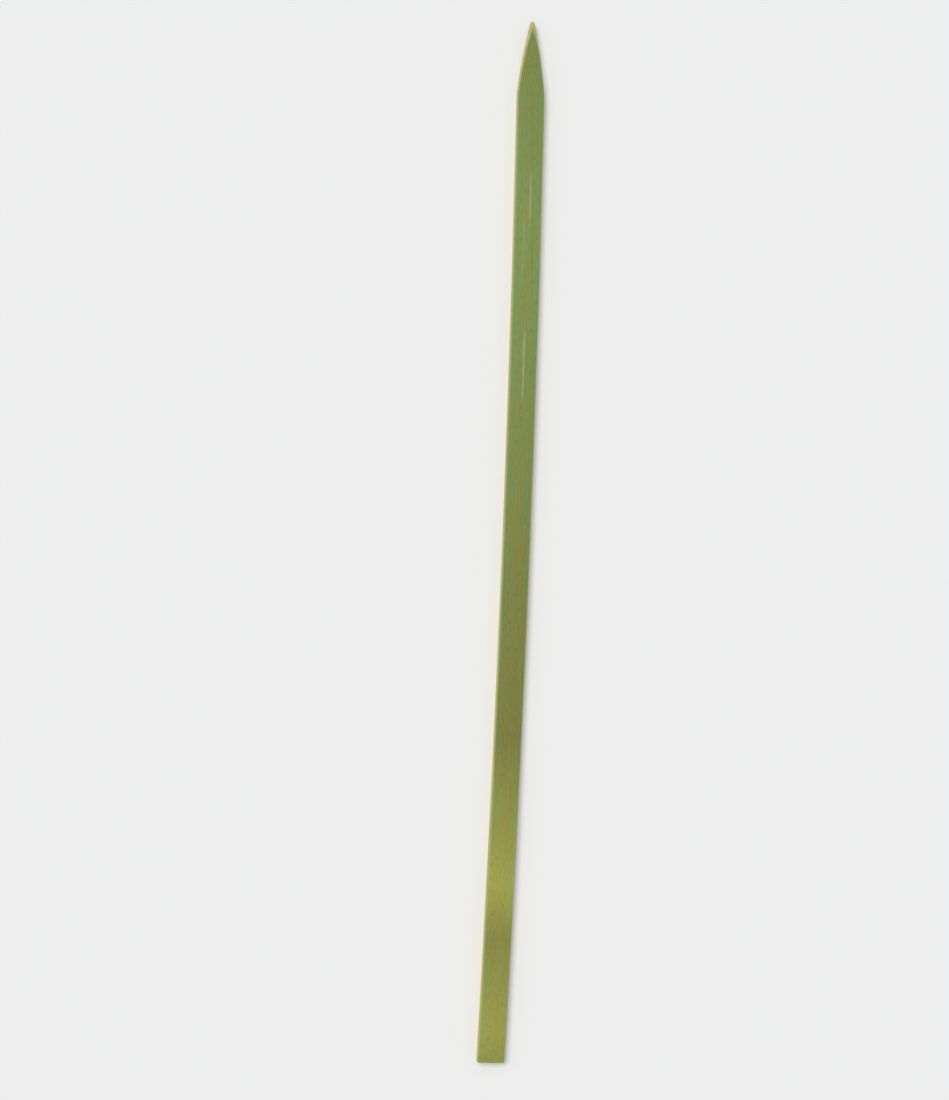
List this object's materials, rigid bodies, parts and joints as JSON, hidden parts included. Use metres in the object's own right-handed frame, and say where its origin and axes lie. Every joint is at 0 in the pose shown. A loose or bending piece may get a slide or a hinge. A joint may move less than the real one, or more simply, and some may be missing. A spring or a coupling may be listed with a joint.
{
  "type": "flat skewer",
  "caption": "Flat bamboo skewer: a thin planed strip with the green skin left on one face, ground to a round point at one end and sawn square at the other.",
  "frame": {"origin": "on the resting plane, under the middle of the strip's box", "axes": "+Y along the strip towards the point, +Z out of the skin face, +X across the strip"},
  "size_m": [0.0082, 0.27, 0.0031],
  "materials": {
    "bamboo": "green cane skin, smooth and half matt, on one face; planed tan and cream fibres on the sides and the inner face"
  },
  "bodies": {
    "root": {"flat_skewer": "bamboo"}
  },
  "joints": []
}
